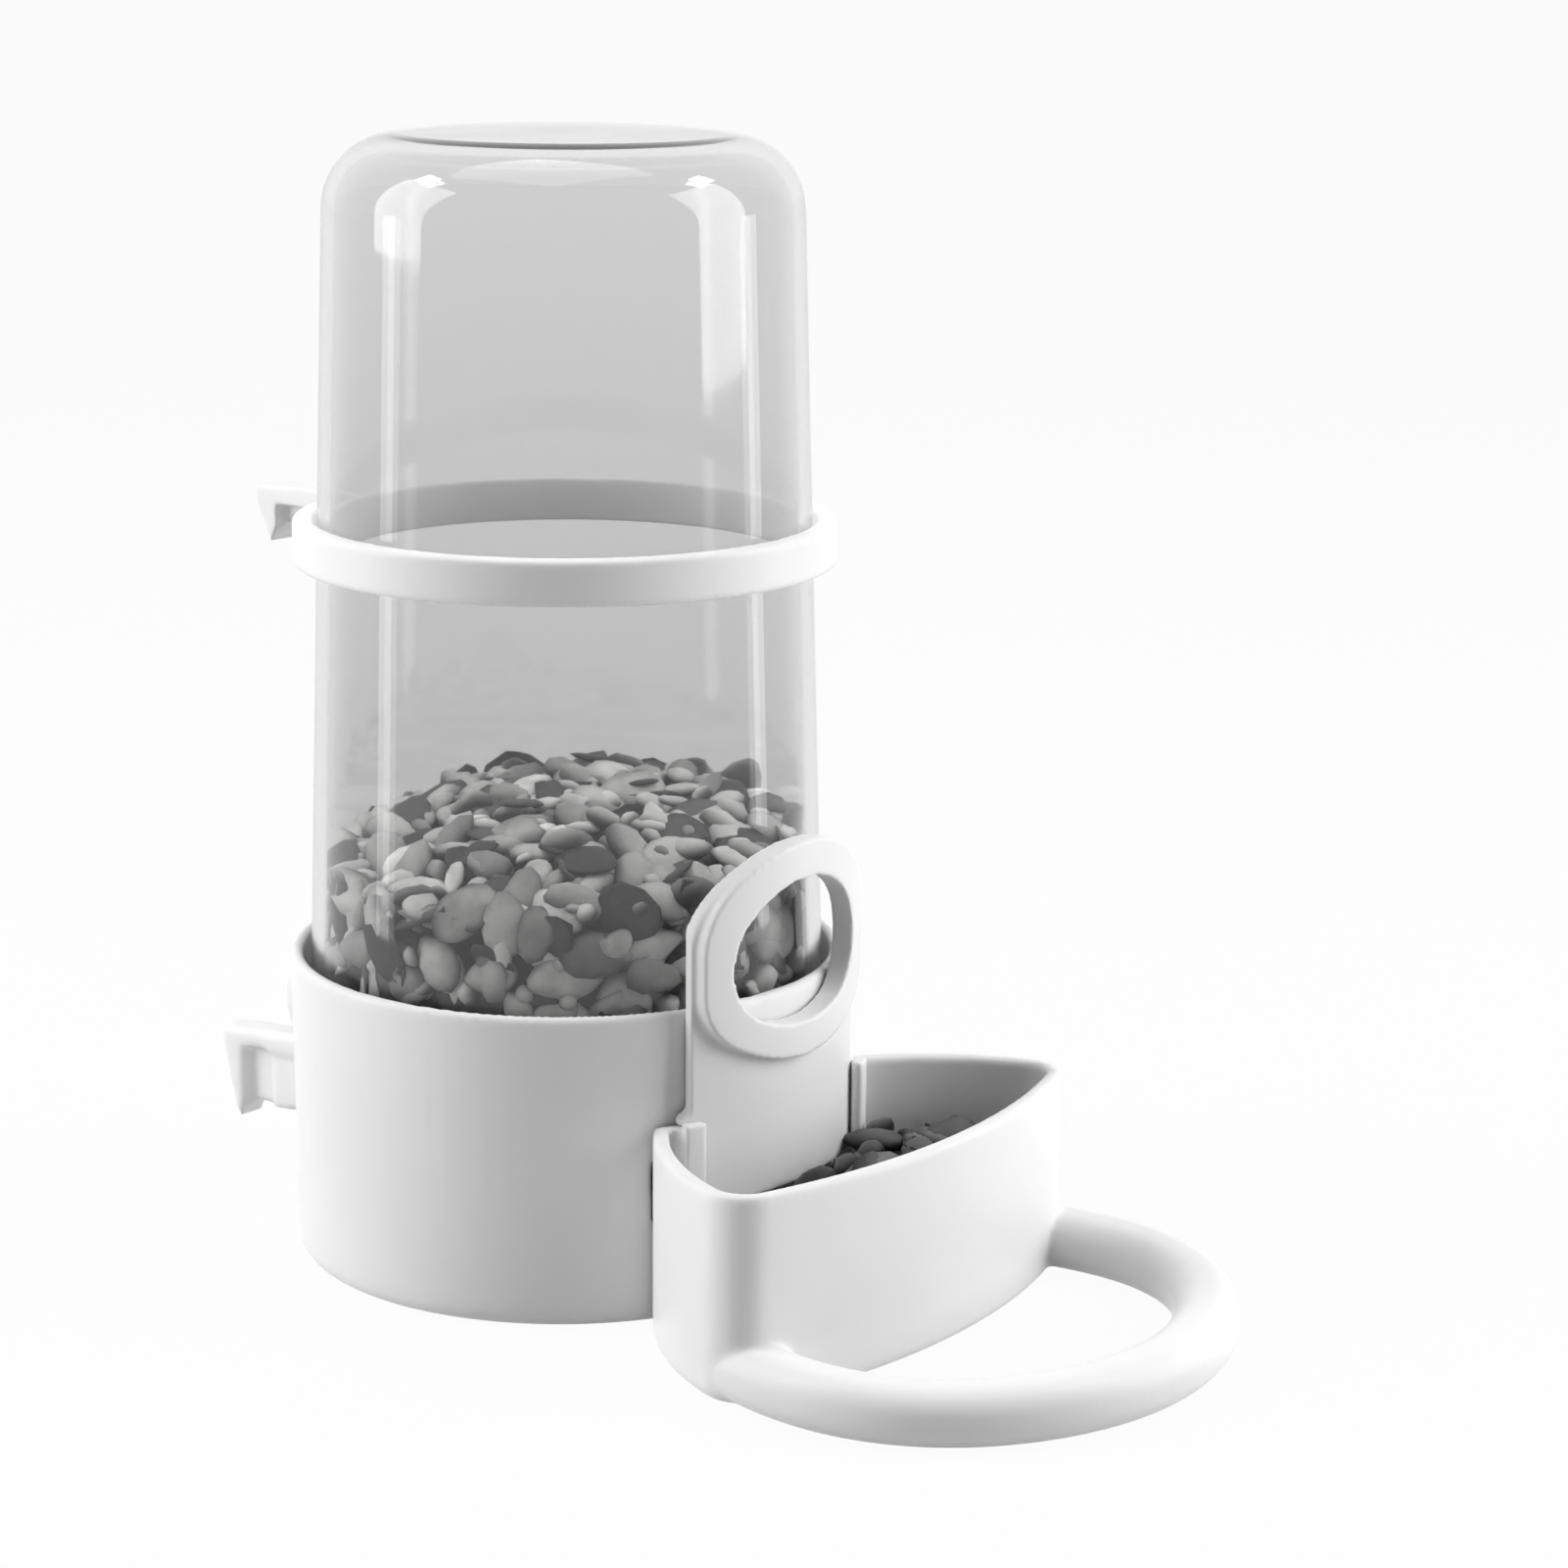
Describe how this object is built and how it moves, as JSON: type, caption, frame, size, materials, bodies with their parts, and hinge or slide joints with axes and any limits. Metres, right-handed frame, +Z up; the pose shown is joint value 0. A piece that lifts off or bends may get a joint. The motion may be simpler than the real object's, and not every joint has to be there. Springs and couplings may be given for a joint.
{
  "type": "cage water dispenser",
  "caption": "Upturned clear bottle in a cup with a clip-on tray, a perch loop, a slide-up gate with a window and hooks for a cage, filled with seed.",
  "frame": {"origin": "centre of the cup's underside, on the bottle's axis", "axes": "+Z up along the bottle's axis, +Y towards the cage wall and the hooks, tray and perch towards -Y"},
  "size_m": [0.0658, 0.1456, 0.1323],
  "materials": {
    "white_plastic": "satin",
    "clear_plastic": "clear, slightly smoky",
    "seed": "mixed dry seed"
  },
  "bodies": {
    "base": {"base_cup": "white_plastic", "seed_fill": "seed"},
    "tray": {"tray": "white_plastic", "tray_seed": "seed"},
    "gate": {"gate": "white_plastic"},
    "bottle": {"bottle": "clear_plastic"},
    "ring": {"bottle_ring": "white_plastic"}
  },
  "joints": [
    {"name": "tray_lift", "type": "slide", "parent": "base", "child": "tray", "axis": [0, 0, 1], "range_m": [0, 0.0045]},
    {"name": "gate_slide", "type": "slide", "parent": "tray", "child": "gate", "axis": [0, 0, 1], "range_m": [0, 0.009]},
    {"name": "bottle_lift", "type": "slide", "parent": "base", "child": "bottle", "axis": [0, 0, 1], "range_m": [0, 0.045]},
    {"name": "ring_slide", "type": "slide", "parent": "bottle", "child": "ring", "axis": [0, 0, 1], "range_m": [0, 0.035]}
  ]
}
